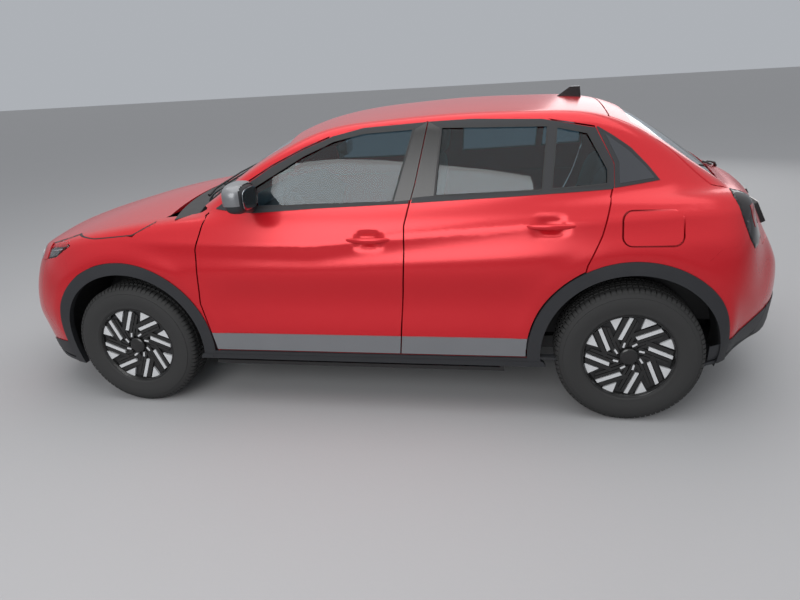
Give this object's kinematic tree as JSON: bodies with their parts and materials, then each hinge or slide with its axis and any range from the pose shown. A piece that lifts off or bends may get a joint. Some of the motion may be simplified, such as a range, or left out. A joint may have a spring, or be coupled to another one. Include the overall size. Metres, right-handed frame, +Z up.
{
  "type": "compact suv",
  "caption": "Five-door compact SUV with opening doors, hood, tailgate and fuel flap, steered front wheels and wheels that roll.",
  "frame": {"origin": "on the floor under the middle of the car", "axes": "+X rearward along the length, +Y to the car's right, +Z up"},
  "size_m": [4.1729, 1.966, 1.523],
  "materials": {
    "body_paint": "gloss",
    "dark_cladding": "satin",
    "silver_cap": "gloss",
    "tinted_glass": "gloss",
    "lamp_lens": "gloss",
    "gloss_black": "gloss",
    "tyre_rubber": "matte",
    "dark_interior": "matte",
    "seat_fabric": "matte",
    "cast_metal": "matte",
    "chassis_steel": "satin",
    "tank_plastic": "matte"
  },
  "bodies": {
    "root": {"body_frame": "body_paint", "floor_pan": "chassis_steel", "fenders": "body_paint", "front_bumper": "body_paint", "rear_bumper": "body_paint", "headlamps": "lamp_lens", "tail_lamps": "lamp_lens", "lower_trims": "dark_cladding", "wheel_liners": "dark_cladding", "windscreen": "tinted_glass", "quarter_glass": "tinted_glass", "cowl": "dark_cladding", "antenna_fin": "gloss_black", "dashboard": "dark_interior", "seats": "seat_fabric", "engine_block": "cast_metal", "front_suspension": "chassis_steel", "rear_axle": "chassis_steel", "exhaust": "chassis_steel", "fuel_tank": "tank_plastic"},
    "door_front_l": {"door_front_l": "body_paint", "door_glass_front_l": "tinted_glass", "door_cladding_front_l": "dark_cladding", "mirror_l": "silver_cap"},
    "door_front_r": {"door_front_r": "body_paint", "door_glass_front_r": "tinted_glass", "door_cladding_front_r": "dark_cladding", "mirror_r": "silver_cap"},
    "door_rear_l": {"door_rear_l": "body_paint", "door_glass_rear_l": "tinted_glass", "door_cladding_rear_l": "dark_cladding"},
    "door_rear_r": {"door_rear_r": "body_paint", "door_glass_rear_r": "tinted_glass", "door_cladding_rear_r": "dark_cladding"},
    "hood": {"hood": "body_paint"},
    "tailgate": {"tailgate": "body_paint", "tailgate_glass": "tinted_glass"},
    "fuel_flap": {"fuel_flap": "body_paint"},
    "knuckle_l": {"knuckle_l": "cast_metal"},
    "knuckle_r": {"knuckle_r": "cast_metal"},
    "steering_wheel": {"steering_wheel": "dark_interior"},
    "wheel_front_l": {"wheel_front_l": "gloss_black", "tyre_front_l": "tyre_rubber"},
    "wheel_front_r": {"wheel_front_r": "gloss_black", "tyre_front_r": "tyre_rubber"},
    "wheel_rear_l": {"wheel_rear_l": "gloss_black", "tyre_rear_l": "tyre_rubber"},
    "wheel_rear_r": {"wheel_rear_r": "gloss_black", "tyre_rear_r": "tyre_rubber"}
  },
  "joints": [
    {"name": "door_front_l_swing", "type": "hinge", "parent": "root", "child": "door_front_l", "pos_m": [-0.803, -0.889, 0.7], "axis": [0, 0, -1], "range_deg": [0, 66]},
    {"name": "door_front_r_swing", "type": "hinge", "parent": "root", "child": "door_front_r", "pos_m": [-0.803, 0.889, 0.7], "axis": [0, 0, 1], "range_deg": [0, 66]},
    {"name": "door_rear_l_swing", "type": "hinge", "parent": "root", "child": "door_rear_l", "pos_m": [0.232, -0.889, 0.7], "axis": [0, 0, -1], "range_deg": [0, 70]},
    {"name": "door_rear_r_swing", "type": "hinge", "parent": "root", "child": "door_rear_r", "pos_m": [0.232, 0.889, 0.7], "axis": [0, 0, 1], "range_deg": [0, 70]},
    {"name": "hood_lift", "type": "hinge", "parent": "root", "child": "hood", "pos_m": [-0.8975, 0, 1.078], "axis": [0, 1, 0], "range_deg": [0, 50]},
    {"name": "tailgate_lift", "type": "hinge", "parent": "root", "child": "tailgate", "pos_m": [1.1945, 0, 1.47], "axis": [0, -1, 0], "range_deg": [0, 78]},
    {"name": "flap_swing", "type": "hinge", "parent": "root", "child": "fuel_flap", "pos_m": [1.2445, -0.84967, 0.95898], "axis": [0, -0.3256, -0.9455], "range_deg": [0, 95]},
    {"name": "steer_l", "type": "hinge", "parent": "root", "child": "knuckle_l", "pos_m": [-1.2475, -0.668, 0.236], "axis": [0, 0.1994, 0.9799], "range_deg": [-32, 32]},
    {"name": "steer_r", "type": "hinge", "parent": "root", "child": "knuckle_r", "pos_m": [-1.2475, 0.668, 0.236], "axis": [0, -0.1994, 0.9799], "range_deg": [-32, 32]},
    {"name": "steering_wheel_turn", "type": "hinge", "parent": "root", "child": "steering_wheel", "pos_m": [-0.4175, -0.37, 0.9], "axis": [0.9135, 0, 0.4067], "range_deg": [-480, 480]},
    {"name": "wheel_front_l_roll", "type": "hinge", "parent": "knuckle_l", "child": "wheel_front_l", "pos_m": [-1.2475, -0.77, 0.341], "axis": [0, 1, 0], "continuous": true},
    {"name": "wheel_front_r_roll", "type": "hinge", "parent": "knuckle_r", "child": "wheel_front_r", "pos_m": [-1.2475, 0.77, 0.341], "axis": [0, 1, 0], "continuous": true},
    {"name": "wheel_rear_l_roll", "type": "hinge", "parent": "root", "child": "wheel_rear_l", "pos_m": [1.3095, -0.77, 0.341], "axis": [0, 1, 0], "continuous": true},
    {"name": "wheel_rear_r_roll", "type": "hinge", "parent": "root", "child": "wheel_rear_r", "pos_m": [1.3095, 0.77, 0.341], "axis": [0, 1, 0], "continuous": true}
  ],
  "couplings": [
    {"joint": "steer_r", "follows": "steer_l", "ratio": 1},
    {"joint": "steering_wheel_turn", "follows": "steer_l", "ratio": 15}
  ]
}
